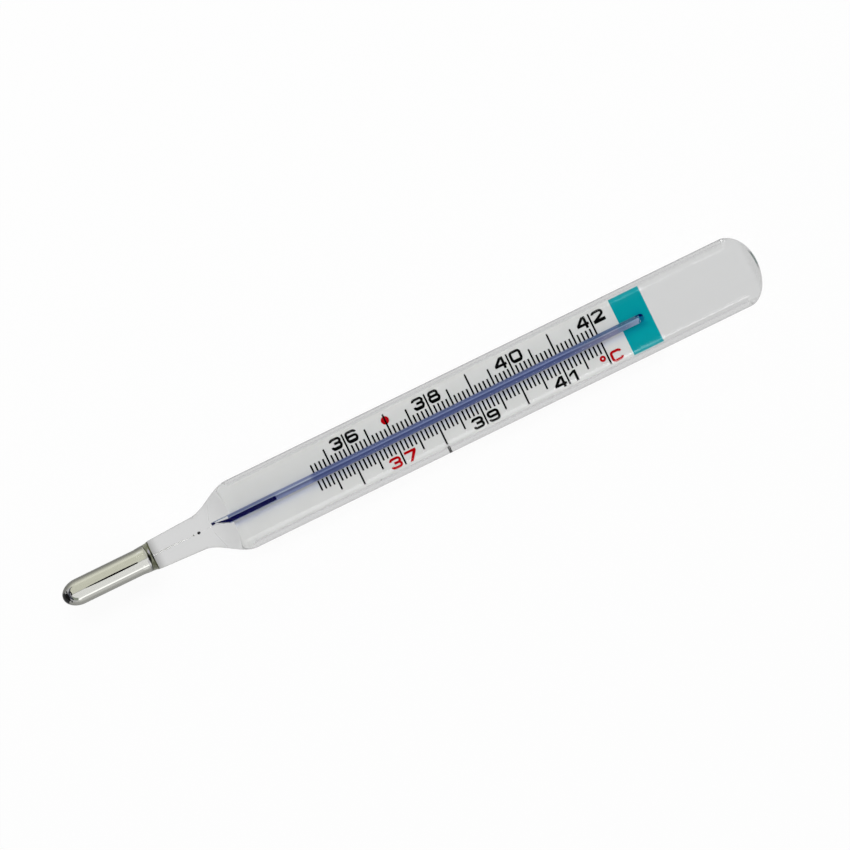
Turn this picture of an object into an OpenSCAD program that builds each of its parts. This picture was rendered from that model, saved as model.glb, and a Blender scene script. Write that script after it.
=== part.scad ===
// Clinical thermometer of the enclosed-scale kind. A flat glass sheath holds a printed plate with a
// glass capillary in front of it, and a bulb of liquid metal is fused to the foot of the sheath.
// Sizes are in millimetres. +X runs from the tip of the bulb to the sealed end, +Y across the scale,
// and +Z out of its face. The origin is under the middle of the part, on its flat back.

/* [Bulb] */
// Length of the bulb, from its tip to the weld
bulb_len = 15.1; // [12:0.1:20]
// Outer diameter of the bulb
bulb_d = 4.32; // [3.6:0.02:4.5]
// Length of the bulb's rounded tip
tip_len = 3; // [2:0.1:4]
// Thickness of the glass at the tip
tip_wall = 0.6; // [0.4:0.1:1]
// Depth of the rounding where the metal ends at the tip
tip_round = 2.4; // [1:0.1:2.8]
// Thickness of the bulb's side wall
bulb_wall = 0.4; // [0.25:0.05:0.7]
// Length over which the bulb widens to the weld
flare_len = 1.7; // [0.8:0.1:3]

/* [Weld and stem] */
// Length of the fused ring between bulb and stem
ring_len = 1.2; // [0.8:0.1:2]
// Diameter of the ring at the bulb
ring_d = 4.56; // [4.5:0.02:5]
// Diameter of the stem at the ring
stem_foot_d = 4.96; // [4.6:0.02:5.4]
// Diameter of the stem where the shoulder starts
stem_top_d = 5.68; // [5:0.02:6.4]
// Length of the stem up to the shoulder
stem_len = 7.8; // [5:0.1:12]
// Diameter of the hairline bore in the stem
hair_d = 0.2; // [0.12:0.02:0.3]
// Diameter of the drop of metal at the pinch
pinch_d = 0.4; // [0.36:0.02:0.8]
// Length of that drop
pinch_len = 0.7; // [0.5:0.05:1]
// How far past the start of the shoulder the pinch lies
pinch_at = 0.45; // [0.4:0.05:1]
// Glass between the pinch and the seam with the sheath
seam_gap = 0.5; // [0.3:0.1:1]

/* [Sheath] */
// Width of the flat body
body_w = 12; // [10.5:0.1:14]
// Thickness of the flat body
body_t = 7; // [6:0.1:8.4]
// Thickness of the sheath's wall
wall = 0.8; // [0.6:0.05:1.1]
// How far the axis of the bulb and of the sealed end lies off the middle of the body
axis_shift = 0.25; // [0:0.05:0.4]
// Length of the shoulder, from stem to full width
shoulder_len = 8.1; // [6.5:0.1:10]
// Solid glass at the foot of the sheath, under the capillary
plug_len = 1.6; // [1:0.1:2.2]
// Height over which the foot of the cavity opens out
floor_rise = 2.4; // [1.6:0.1:2.8]
// Empty sheath between the plate and the sealed end
empty_len = 15.1; // [4:0.1:30]
// Length of the rounded sealed end
end_len = 4.1; // [3:0.1:6]
// Thickness of the glass at the sealed end
end_wall = 0.9; // [0.8:0.1:1.6]
// Length over which the flat faces round off to the sealed end
face_round = 3.4; // [2.4:0.1:5]

/* [Scale plate] */
// Thickness of the plate
plate_t = 0.5; // [0.3:0.05:0.8]
// How far the plate reaches down into the shoulder
plate_tuck = 1.8; // [0.5:0.1:2]
// Clearance between the plate's edges and the cavity
plate_clear = 0.05; // [0.03:0.01:0.2]
// Size of the cuts on the plate's lower corners
corner_cut = 1; // [0.9:0.1:2]
// Bare plate below the first graduation
plate_lead = 15.07; // [10:0.01:25]
// Bare plate between the last graduation and the colour band
band_gap = 3.97; // [3:0.01:8]
// Length of the colour band
band_len = 5.3; // [4.2:0.1:9]
// Thickness of the printing
ink = 0.03; // [0.02:0.005:0.05]

/* [Graduations] */
// First graduation, in degrees Celsius
first_degree = 35.1; // [35:0.1:35.5]
// Last graduation, in degrees Celsius
last_degree = 42; // [41:0.1:42.5]
// Length of a tenth of a degree
tick_pitch = 0.74; // [0.6:0.01:0.9]
// Width of a graduation line
tick_w = 0.3; // [0.12:0.02:0.36]
// Start of the graduations beside the middle of the plate
tick_gap = 0.55; // [0.3:0.05:0.8]
// Bare edge of the plate beyond the longest graduations
edge_margin = 0.34; // [0.2:0.02:0.6]
// How much shorter the half-degree lines are than the longest
half_step = 0.95; // [0.5:0.05:1.5]
// How much shorter the tenth-degree lines are than the longest
tenth_step = 2.22; // [1.8:0.02:2.6]
// How far the printing lies below the middle of the plate
print_drop = 0.09; // [0:0.01:0.15]

/* [Numerals] */
// Width of a numeral
digit_w = 2.05; // [1.6:0.05:2.4]
// Width of a numeral's stroke
stroke = 0.44; // [0.24:0.02:0.5]
// Gap between the tenth-degree lines and the numerals
digit_gap = 0.25; // [0.1:0.05:0.4]
// Gap between a degree line's middle and the numeral beside it
digit_side = 0.38; // [0.3:0.02:0.6]
// Diameter of the degree sign
degree_d = 1.05; // [0.7:0.05:1.2]
// Diameter of the red dot
dot_d = 1.38; // [0.8:0.02:1.8]
// Degree that is marked in red
red_degree = 37; // [36:1:39]

/* [Capillary] */
// Outer diameter of the capillary
tube_d = 1.4; // [1.2:0.05:1.7]
// How far the capillary lies off the middle of the body, towards the bulb's axis
tube_shift = 0.14; // [0:0.02:0.3]
// Diameter of the capillary's foot
foot_d = 1; // [0.9:0.05:1.1]
// Length of the tapered foot
foot_len = 2; // [1:0.1:3]
// Width of the flat bore
bore_w = 0.5; // [0.36:0.02:0.6]
// How far the bore lies off the middle of the capillary, away from the bulb's axis
bore_shift = 0.16; // [0:0.02:0.2]
// Depth of the flat bore
bore_t = 0.22; // [0.14:0.02:0.3]
// Solid glass at the closed upper end
tube_tip = 1.2; // [0.8:0.1:2]
// How far the capillary reaches over the colour band
tube_reach = 4.1; // [3:0.1:6]
// Gap between the printing and the capillary
seat_gap = 0.02; // [0.01:0.01:0.1]
// Thickness of the enamel stripe in the back of the capillary
stripe_t = 0.06; // [0.04:0.01:0.1]
// Angle that the enamel stripe covers
stripe_angle = 130; // [60:5:160]

/* [Thread] */
// Reading in degrees Celsius, with the thread shaken down
reading_degree = 34.12; // [33.8:0.02:35]
// Clearance between thread and bore
thread_clear = 0.02; // [0.01:0.01:0.04]
// Length of the moving end of the thread
thread_top_len = 5; // [2:0.5:5.5]

/* [Fixings] */
// Distance of each cement pad's middle from the plate's end
pad_in = 4; // [3.5:0.1:8]
// Diameter of a cement pad
pad_d = 3; // [2:0.1:3.4]
// Length of the cement dabs under the capillary
dab_len = 1.2; // [0.8:0.1:2]
// Width of those dabs
dab_w = 0.9; // [0.6:0.05:1.2]
// Height of those dabs
dab_h = 0.3; // [0.2:0.02:0.4]
// Distance of the lower dab from the plate's end, and of the upper one from the tube's end
dab_in = 2; // [1.8:0.1:4]

/* [Location mark] */
// Degree that the mark on the sheath stands against
mark_degree = 38; // [36:1:41]
// Width of the mark
mark_w = 0.35; // [0.2:0.05:0.6]
// Depth of the mark in the glass
mark_depth = 0.05; // [0.03:0.01:0.1]
// Angle of the mark's lower end below the edge
mark_low = 40; // [10:5:60]
// Angle of the mark's upper end above the edge
mark_high = 55; // [10:5:70]

/* [Hidden] */
$fn = 96;

// Straight pieces that stand for a curve in a turned outline, and for an arc in a numeral
curve_steps = 16;
arc_steps = 8;
// How far a cutting shape runs past what it cuts
past = 0.5;
// How far the rounded side view clears the stem and the flat faces
stem_lift = 0.05;
face_lift = 0.2;
// Glass floor left round the capillary's foot
floor_margin = 0.25;

// Places along the length, counted from the tip of the bulb
ring_x = bulb_len;
stem_x = ring_x + ring_len;
shoulder_x = stem_x + stem_len;
pinch_x = shoulder_x + pinch_at;
seam_x = pinch_x + pinch_len / 2 + seam_gap;
floor_x = seam_x + plug_len;
body_x = shoulder_x + shoulder_len;
plate_x = body_x - plate_tuck;
first_x = plate_x + plate_lead;
last_x = degree_x(last_degree);
band_x = last_x + band_gap;
plate_end_x = band_x + band_len;
end_x = plate_end_x + empty_len;
total_len = end_x + end_len;
tube_end_x = band_x + tube_reach;
bore_end_x = tube_end_x - tube_tip;
top_x = degree_x(reading_degree);
split_x = top_x - thread_top_len;

// Radii
bulb_r = bulb_d / 2;
bulb_in_r = bulb_r - bulb_wall;
hair_r = hair_d / 2;
pinch_r = pinch_d / 2;
full_r = body_w / 2 + axis_shift;
tube_r = tube_d / 2;
floor_r = foot_d / 2 + axis_shift + floor_margin;

// The sheath's section: two round edges and flat faces between them
axis_z = body_t / 2;
lobe_r = body_t / 2;
lobe_y = body_w / 2 - lobe_r;
cavity_r = lobe_r - wall;

// Levels and widths of the plate and its printing
plate_front = axis_z - tube_r - seat_gap - ink;
plate_back = plate_front - plate_t;
plate_half = plate_room(plate_back);
front_half = plate_room(plate_front);
long_line = plate_half - edge_margin;
half_line = long_line - half_step;
tenth_line = long_line - tenth_step;
digit_h = tenth_step - digit_gap;

// Half width that a plate may have at a level in the cavity
function plate_room(level) = lobe_y + sqrt(pow(cavity_r, 2) - pow(axis_z - level, 2)) - plate_clear;

// Place of a temperature along the length
function degree_x(degrees) = first_x + (degrees - first_degree) * 10 * tick_pitch;

// Radius of the outside of stem and shoulder
function outside_r(x) = x < shoulder_x
    ? (stem_foot_d + (stem_top_d - stem_foot_d) * (x - stem_x) / stem_len) / 2
    : stem_top_d / 2 + (full_r - stem_top_d / 2) * (1 - cos(180 * (x - shoulder_x) / shoulder_len)) / 2;

// Quarter of an ellipse from the axis at x to radius r, as a turned outline
function nose(x, length, r) =
    [for (i = [0:curve_steps])
        let (angle = 90 * i / curve_steps)
            [r * sin(angle), x + length * (1 - cos(angle))]];
// The same, closing at the axis at x from further down the length
function dome(x, length, r) = reversed([for (p = nose(0, length, r)) [p[0], x - p[1]]]);
function reversed(points) = [for (i = [len(points) - 1:-1:0]) points[i]];
// Plain round rod, as a turned outline
function rod(r, from, to) = [[0, from], [r, from], [r, to], [0, to]];

// A solid turned about an axis along the length, from [radius, place] points
module turned(points, y = axis_shift) {
    translate([-total_len / 2, y, axis_z])
        rotate([0, 90, 0])
            rotate_extrude()
                polygon(points);
}

// A flat shape drawn across the part, around the axis, and run along the length
module along(from, to) {
    translate([from - total_len / 2, 0, axis_z])
        rotate([90, 0, 90])
            linear_extrude(to - from)
                children();
}

// The same, around the axis of the capillary
module along_tube(from, to) {
    along(from, to)
        translate([tube_shift, 0])
            children();
}

// A flat shape drawn from the side, with the axis as its zero level, and run across the part
module across() {
    translate([-total_len / 2, body_w, axis_z])
        rotate([90, 0, 0])
            linear_extrude(2 * body_w)
                children();
}

// A flat shape drawn on the plate and raised from a level by a height
module raised(level, height) {
    translate([-total_len / 2, 0, level])
        linear_extrude(height)
            children();
}

// A bar with round edges, lying across
module slot(width, depth) {
    square([width - depth, depth], center = true);
    for (side = [-1, 1])
        translate([side * (width - depth) / 2, 0])
            circle(depth / 2);
}

// A sector of a ring about a point, between two angles
module ring_sector(outer, inner, from, to) {
    reach = 2 * outer;
    middle = (from + to) / 2;
    intersection() {
        difference() {
            circle(outer);
            circle(inner);
        }
        polygon([[0, 0], reach * [cos(from), sin(from)], reach * [cos(middle), sin(middle)],
            reach * [cos(to), sin(to)]]);
    }
}

// Outline of the pinch in the bore, as [radius, place] points
pinch_points = [[hair_r, pinch_x - pinch_len / 2], [pinch_r, pinch_x - pinch_len / 6],
    [pinch_r, pinch_x + pinch_len / 6], [hair_r, pinch_x + pinch_len / 2]];

// The shoulder's places, from one to the other
function places(from, to) = [for (i = [0:curve_steps]) from + (to - from) * i / curve_steps];

// Upper half of the sheath's side view: the faces rise along the shoulder and round off at the end
function side_points(foot_r, top, round_len, end) =
    concat([for (x = places(seam_x, body_x))
            [x, foot_r + (top - foot_r) * (1 - cos(180 * (x - seam_x) / (body_x - seam_x))) / 2]],
        [for (p = dome(end, round_len, top)) [p[1], p[0]]]);

// The whole side view, both halves
module side_view(foot_r, top, round_len, end) {
    upper = side_points(foot_r, top, round_len, end);
    polygon(concat(upper, [for (i = [len(upper) - 2:-1:0]) [upper[i][0], -upper[i][1]]]));
}

module sheath_outside() {
    intersection() {
        across()
            side_view(outside_r(seam_x) + stem_lift, axis_z + face_lift, face_round, total_len);
        turned(concat([[0, seam_x]], [for (x = places(seam_x, body_x)) [outside_r(x), x]],
            dome(total_len, end_len, full_r)));
        along(seam_x - past, total_len + past)
            slot(body_w, body_t);
    }
}

module sheath_cavity() {
    cavity_end = total_len - end_wall;
    intersection() {
        across()
            side_view(cavity_r, cavity_r + face_lift, face_round - end_wall / 2, cavity_end);
        turned(concat([[0, floor_x], [floor_r, floor_x]],
            [for (x = places(floor_x + floor_rise, body_x)) [outside_r(x) - wall, x]],
            dome(cavity_end, end_len - end_wall, full_r - wall)));
        along(floor_x - past, total_len)
            slot(body_w - 2 * wall, body_t - 2 * wall);
    }
}

// Band round the sheath's lower edge, where the location mark is let in
module mark_band(outer) {
    x = degree_x(mark_degree);
    along(x - mark_w / 2, x + mark_w / 2)
        translate([-lobe_y, 0])
            ring_sector(outer, lobe_r - mark_depth, 180 - mark_high, 180 + mark_low);
}

module sheath() {
    color([0.84, 0.87, 0.87, 0.4])
        difference() {
            sheath_outside();
            sheath_cavity();
            turned(rod(hair_r, seam_x - past, floor_x + past));
            mark_band(lobe_r + past);
        }
}

module stem() {
    color([0.84, 0.87, 0.87, 0.4])
        turned(concat([[outside_r(stem_x), stem_x]],
            [for (x = places(shoulder_x, seam_x)) [outside_r(x), x]],
            [[hair_r, seam_x]], reversed(pinch_points), [[hair_r, stem_x]]));
}

module weld_ring() {
    color([0.42, 0.43, 0.36, 0.8])
        turned([[bulb_in_r, ring_x], [ring_d / 2, ring_x], [stem_foot_d / 2, stem_x], [hair_r, stem_x]]);
}

module bulb_shell() {
    color([0.8, 0.82, 0.8, 0.4])
        turned(concat(nose(0, tip_len, bulb_r),
            [[bulb_r, ring_x - flare_len], [ring_d / 2, ring_x], [bulb_in_r, ring_x]],
            reversed(nose(tip_wall, tip_round, bulb_in_r))));
}

module bulb_metal() {
    color([0.78, 0.78, 0.75])
        turned(concat(nose(tip_wall, tip_round, bulb_in_r),
            [[bulb_in_r, ring_x], [hair_r, stem_x], [0, stem_x]]));
}

module neck_metal() {
    color([0.6, 0.6, 0.6])
        turned(rod(hair_r, stem_x, pinch_x - pinch_len / 2));
}

module constriction_drop() {
    color([0.1, 0.1, 0.1])
        turned(concat([[0, pinch_x - pinch_len / 2]], pinch_points, [[0, pinch_x + pinch_len / 2]]));
}

module lead_metal() {
    color([0.3, 0.3, 0.4])
        turned(rod(hair_r, pinch_x + pinch_len / 2, floor_x));
}

// Enamel stripe's section run along the capillary, to a given outer radius
module stripe_run(outer) {
    along_tube(floor_x + foot_len, bore_end_x)
        ring_sector(outer, tube_r - stripe_t, 270 - stripe_angle / 2, 270 + stripe_angle / 2);
}

module capillary_outside() {
    turned(concat([[0, floor_x], [foot_d / 2, floor_x], [tube_r, floor_x + foot_len]],
        dome(tube_end_x, tube_r, tube_r)), tube_shift);
}

// The flat bore's section, drawn in on all sides by a clearance
module bore_section(clear) {
    translate([-bore_shift, 0])
        slot(bore_w - 2 * clear, bore_t - 2 * clear);
}

module capillary() {
    color([0.75, 0.8, 0.88, 0.4])
        difference() {
            capillary_outside();
            along_tube(floor_x - past, bore_end_x)
                bore_section(0);
            stripe_run(tube_r + past);
        }
}

module capillary_stripe() {
    color([0.25, 0.33, 0.6])
        stripe_run(tube_r);
}

module thread_run(from, to) {
    color([0.03, 0.03, 0.25])
        along_tube(from, to)
            bore_section(thread_clear);
}

module thread_stem() {
    thread_run(floor_x, split_x);
}

module thread_top() {
    thread_run(split_x, top_x);
}

// The plate's long edges slant, as the round edges of the cavity do
module scale_plate() {
    back = plate_back - axis_z;
    front = plate_front - axis_z;
    color([0.93, 0.93, 0.92])
        difference() {
            along(plate_x, plate_end_x)
                polygon([[-plate_half, back], [plate_half, back], [front_half, front], [-front_half, front]]);
            for (side = [-1, 1])
                raised(plate_back - past, plate_t + 2 * past)
                    corner_off(side);
        }
}

// What is cut off a lower corner of the plate
module corner_off(side) {
    end = plate_x - past;
    edge = plate_half + past;
    polygon([[end, side * (edge - corner_cut - 2 * past)], [plate_x + corner_cut + past, side * edge],
        [end, side * edge]]);
}

module colour_band() {
    color([0.01, 0.59, 0.61])
        raised(plate_front, ink)
            translate([band_x, -front_half])
                square([band_len, 2 * front_half]);
}

// Length of a graduation line, by the tenth of a degree that it marks
function tick_line(tenth) = tenth % 10 == 0 ? long_line : tenth % 5 == 0 ? half_line : tenth_line;

// One row of graduation lines, above or below the capillary
module tick_row(side) {
    color([0.07, 0.07, 0.07])
        raised(plate_front, ink)
            for (tenth = [round(10 * first_degree):round(10 * last_degree)])
                tick(tenth, side);
}

module tick(tenth, side) {
    length = tick_line(tenth) - tick_gap;
    translate([degree_x(tenth / 10), side * (tick_gap + length / 2) - print_drop])
        square([tick_w, length], center = true);
}

module upper_ticks() {
    tick_row(1);
}

module lower_ticks() {
    tick_row(-1);
}

// Numerals are drawn with strokes in a box of digit_w by digit_h, from its lower left corner
half_stroke = stroke / 2;
bend_r = (digit_h - stroke) / 4;
right_x = digit_w - half_stroke - bend_r;
left_x = half_stroke + bend_r;
high_y = digit_h - half_stroke - bend_r;
low_y = half_stroke + bend_r;
hook = 85;
box_r = 1.3 * stroke;

function arc(centre, r, from, to) =
    [for (i = [0:arc_steps])
        let (angle = from + (to - from) * i / arc_steps)
            centre + r * [cos(angle), sin(angle)]];
function heading(a, b) = (b - a) / norm(b - a);
function path_heading(path, i) = heading(path[max(i - 1, 0)], path[min(i + 1, len(path) - 1)]);
function beside(path, offset) =
    [for (i = [0:len(path) - 1]) let (h = path_heading(path, i)) path[i] + offset * [-h[1], h[0]]];

// A stroke of even width along a path
module pen(path) {
    polygon(concat(beside(path, -half_stroke), reversed(beside(path, half_stroke))));
}

module round_box(x, y, width, height, r) {
    polygon(concat(arc([x + r, y + r], r, 180, 270), arc([x + width - r, y + r], r, 270, 360),
        arc([x + width - r, y + height - r], r, 0, 90), arc([x + r, y + height - r], r, 90, 180)));
}

// A closed stroke round a box
module loop(x, y, width, height) {
    difference() {
        round_box(x, y, width, height, box_r);
        round_box(x + stroke, y + stroke, width - 2 * stroke, height - 2 * stroke, box_r - stroke);
    }
}

module bar(x, y, width, height) {
    translate([x, y])
        square([width, height]);
}

module numeral_0() {
    loop(0, 0, digit_w, digit_h);
}

module numeral_1() {
    stem_left = 0.42 * digit_w;
    flag_y = 0.77 * digit_h;
    bar(stem_left, 0, stroke, digit_h);
    polygon([[stem_left, digit_h], [0, flag_y], [0, flag_y - stroke], [stem_left, digit_h - stroke]]);
}

module numeral_2() {
    pen(concat(arc([left_x, high_y], bend_r, 90 + hook, 90), arc([right_x, high_y], bend_r, 90, -60),
        [[half_stroke, half_stroke]]));
    bar(0, 0, digit_w, stroke);
}

module numeral_3() {
    bar_end = 0.36 * digit_w;
    pen(concat(arc([left_x, high_y], bend_r, 90 + hook, 90), arc([right_x, high_y], bend_r, 90, -90),
        [[bar_end, digit_h / 2]]));
    pen(concat(arc([right_x, low_y], bend_r, 90, -90), arc([left_x, low_y], bend_r, 270, 270 - hook)));
}

module numeral_4() {
    bar_y = 0.19 * digit_h;
    post_x = 0.66 * digit_w;
    bar_top = bar_y + stroke;
    post_right = post_x + stroke;
    bar(0, bar_y, digit_w, stroke);
    bar(post_x, 0, stroke, digit_h);
    polygon([[0, bar_top], [1.5 * stroke, bar_top], [post_x, digit_h - stroke],
        [post_right, digit_h - stroke], [post_right, digit_h], [post_x - half_stroke, digit_h]]);
}

module numeral_6() {
    loop_h = 0.62 * digit_h;
    loop(0, 0, digit_w, loop_h);
    pen(concat([[half_stroke, loop_h / 2]], arc([left_x, high_y], bend_r, 180, 90),
        arc([right_x, high_y], bend_r, 90, 90 - hook)));
}

module numeral_7() {
    foot_x = 0.2 * digit_w;
    polygon([[0, digit_h], [digit_w, digit_h], [digit_w, digit_h - stroke], [foot_x + 1.2 * stroke, 0],
        [foot_x, 0], [digit_w - 1.5 * stroke, digit_h - stroke], [0, digit_h - stroke]]);
}

module numeral_8() {
    inset = 0.06 * digit_w;
    loop(0, 0, digit_w, digit_h / 2 + half_stroke);
    loop(inset, digit_h / 2 - half_stroke, digit_w - 2 * inset, digit_h / 2 + half_stroke);
}

module numeral_9() {
    translate([digit_w, digit_h])
        rotate(180)
            numeral_6();
}

module numeral(n) {
    if (n == 0) numeral_0();
    if (n == 1) numeral_1();
    if (n == 2) numeral_2();
    if (n == 3) numeral_3();
    if (n == 4) numeral_4();
    if (n == 6) numeral_6();
    if (n == 7) numeral_7();
    if (n == 8) numeral_8();
    if (n == 9) numeral_9();
}

// Foot of the numerals in the upper and in the lower row
function row_y(side) = (side > 0 ? tenth_line + digit_gap : -long_line) - print_drop;

// Even degrees stand in the upper row and odd ones in the lower
function row_side(degrees) = degrees % 2 == 0 ? 1 : -1;

// The two numerals of a degree, on both sides of its line
module label(degrees) {
    y = row_y(row_side(degrees));
    translate([degree_x(degrees) - digit_side - digit_w, y])
        numeral(floor(degrees / 10));
    translate([degree_x(degrees) + digit_side, y])
        numeral(degrees % 10);
}

module black_numerals() {
    color([0.07, 0.07, 0.07])
        raised(plate_front, ink)
            for (degrees = [ceil(first_degree):floor(last_degree)])
                if (degrees != red_degree)
                    label(degrees);
}

// The letter C, as an open loop
module letter_c() {
    pen(concat(arc([right_x, high_y], bend_r, 90 - hook, 90), arc([left_x, high_y], bend_r, 90, 180),
        arc([left_x, low_y], bend_r, 180, 270), arc([right_x, low_y], bend_r, 270, 270 + hook)));
}

module degree_sign() {
    difference() {
        circle(degree_d / 2);
        circle(degree_d / 2 - 0.85 * stroke);
    }
}

module red_numerals() {
    unit_x = degree_x(floor(last_degree));
    unit_y = row_y(-1);
    color([0.72, 0, 0.07])
        raised(plate_front, ink) {
            label(red_degree);
            translate([unit_x + digit_side, unit_y])
                letter_c();
            translate([unit_x - digit_side - degree_d / 2, unit_y + digit_h - degree_d / 2])
                degree_sign();
        }
}

// The dot stands on the red degree's line, which parts it in two
module fever_dot() {
    color([0.72, 0, 0.07])
        raised(plate_front, ink)
            difference() {
                translate([degree_x(red_degree), (tenth_line + long_line) / 2 - print_drop])
                    circle(dot_d / 2);
                tick(red_degree * 10, 1);
            }
}

// Pads between the plate and the back wall of the sheath
module plate_cement() {
    color([0.9, 0.9, 0.86, 0.7])
        for (x = [plate_x + pad_in, plate_end_x - pad_in])
            translate([x - total_len / 2, 0, wall])
                cylinder(h = plate_back - wall, d = pad_d);
}

// One dab of cement under the capillary, on a level
module dab(x, level) {
    difference() {
        translate([x - total_len / 2 - dab_len / 2, tube_shift - dab_w / 2, level])
            cube([dab_len, dab_w, dab_h]);
        along_tube(x - dab_len, x + dab_len)
            circle(tube_r);
    }
}

module tube_cement() {
    color([0.9, 0.9, 0.86, 0.7]) {
        dab(plate_x + dab_in, plate_front);
        dab(tube_end_x - dab_in, plate_front + ink);
    }
}

module location_mark() {
    color([0.2, 0.2, 0.2])
        mark_band(lobe_r);
}

sheath();
stem();
weld_ring();
bulb_shell();
bulb_metal();
neck_metal();
constriction_drop();
lead_metal();
capillary();
capillary_stripe();
thread_stem();
thread_top();
scale_plate();
colour_band();
upper_ticks();
lower_ticks();
black_numerals();
red_numerals();
fever_dot();
plate_cement();
tube_cement();
location_mark();
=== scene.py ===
# Clinical thermometer of clear glass with an enclosed scale. It lies on its flat back on a white table
# and is seen straight from above, with its scale running up to the right.
import math

import bmesh
import bpy
from mathutils import Matrix, Vector


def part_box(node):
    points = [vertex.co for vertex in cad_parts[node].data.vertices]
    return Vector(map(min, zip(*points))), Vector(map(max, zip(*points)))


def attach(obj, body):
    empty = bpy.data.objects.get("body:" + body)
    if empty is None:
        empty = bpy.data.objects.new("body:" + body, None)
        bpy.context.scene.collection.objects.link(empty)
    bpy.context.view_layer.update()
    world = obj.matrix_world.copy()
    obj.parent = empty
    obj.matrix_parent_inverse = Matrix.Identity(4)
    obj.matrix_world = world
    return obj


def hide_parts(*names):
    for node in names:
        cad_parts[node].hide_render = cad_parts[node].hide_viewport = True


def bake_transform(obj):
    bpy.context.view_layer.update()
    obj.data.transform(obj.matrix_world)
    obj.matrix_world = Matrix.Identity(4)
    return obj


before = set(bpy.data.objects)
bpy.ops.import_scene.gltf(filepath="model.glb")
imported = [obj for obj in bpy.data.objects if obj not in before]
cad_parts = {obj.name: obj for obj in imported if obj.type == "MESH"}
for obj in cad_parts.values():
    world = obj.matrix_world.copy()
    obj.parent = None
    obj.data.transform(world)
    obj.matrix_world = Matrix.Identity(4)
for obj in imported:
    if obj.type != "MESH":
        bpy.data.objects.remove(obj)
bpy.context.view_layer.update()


# Sheath and stem
# One envelope of clear glass, drawn and blown: a solid neck opens through a shoulder into a flat tube
# with two round edges, and the far end is melted shut. Fused glass shows no seam between the two.

mm = 0.001
sheath_low, sheath_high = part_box("sheath")
stem_low, stem_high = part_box("stem")
neck_y = (stem_low.y + stem_high.y) / 2
axis_z = (sheath_low.z + sheath_high.z) / 2
half_width = (sheath_high.y - sheath_low.y) / 2
half_depth = (sheath_high.z - sheath_low.z) / 2
wall = 0.8 * mm
hollow_lean = 0.02  # the hollow lies nearer to the upper edge by this share of its half width
neck_foot_r = 2.48 * mm
neck_top_r = 2.84 * mm
shoulder_start = stem_high.x - 1.3 * mm
shoulder_end = shoulder_start + 8.1 * mm
floor_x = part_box("capillary")[0].x
floor_r = 1.0 * mm
floor_rise = 2.4 * mm
end_wall = 0.9 * mm
end_round = 4.1 * mm
face_round = 3.4 * mm


def swell(x):
    """How far the shoulder has opened at x, from 0 at the neck to 1 at the flat tube."""
    part = min(max((x - shoulder_start) / (shoulder_end - shoulder_start), 0), 1)
    return (1 - math.cos(math.pi * part)) / 2


def spread(first, last, steps):
    """Evenly spaced values from first to last."""
    return [first + (last - first) * i / steps for i in range(steps + 1)]


def skin(bm, sections, steps):
    """A skin over flat-oval sections across X, each (x, y, half width, half depth), closed at both ends."""
    least_flat = 0.01 * mm
    x, y, wide, deep = sections[0]
    flat = max(wide - deep, least_flat)
    before = set(bm.edges)
    ends = []
    for side in (1, -1):
        start = bm.verts.new((x, y + side * flat, axis_z + side * deep))
        turned = bmesh.ops.spin(bm, geom=[start], cent=(x, y + side * flat, axis_z), axis=(1, 0, 0),
                                angle=-math.pi, steps=steps)
        ends += [start, turned["geom_last"][0]]
    bm.edges.new((ends[1], ends[2]))
    bm.edges.new((ends[3], ends[0]))
    ring = [e for e in bm.edges if e not in before]
    bmesh.ops.contextual_create(bm, geom=ring)
    for next_x, next_y, next_wide, next_deep in sections[1:]:
        next_flat = max(next_wide - next_deep, least_flat)
        grown = bmesh.ops.extrude_edge_only(bm, edges=ring)["geom"]
        verts = [g for g in grown if isinstance(g, bmesh.types.BMVert)]
        ring = [g for g in grown if isinstance(g, bmesh.types.BMEdge)]
        stretch = next_deep / deep
        halves = {side: [v for v in verts if side * (v.co.y - y) > 0] for side in (1, -1)}
        for side, half in halves.items():
            middle = Vector((x, y + side * flat, axis_z))
            bmesh.ops.scale(bm, vec=(1, stretch, stretch), space=Matrix.Translation(-middle), verts=half)
            next_middle = Vector((next_x, next_y + side * next_flat, axis_z))
            bmesh.ops.translate(bm, vec=next_middle - middle, verts=half)
        x, y, flat, deep = next_x, next_y, next_flat, next_deep
    bmesh.ops.contextual_create(bm, geom=ring)


def piece(bm, name, material, smooth_below=40):
    """The finished mesh as an object, smooth but for edges sharper than an angle in degrees."""
    mesh = bpy.data.meshes.new(name)
    bm.to_mesh(mesh)
    bm.free()
    for face in mesh.polygons:
        face.use_smooth = True
    mesh.set_sharp_from_angle(angle=math.radians(smooth_below))
    mesh.materials.append(material)
    made = bpy.data.objects.new(name, mesh)
    bpy.context.collection.objects.link(made)
    return made


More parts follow.
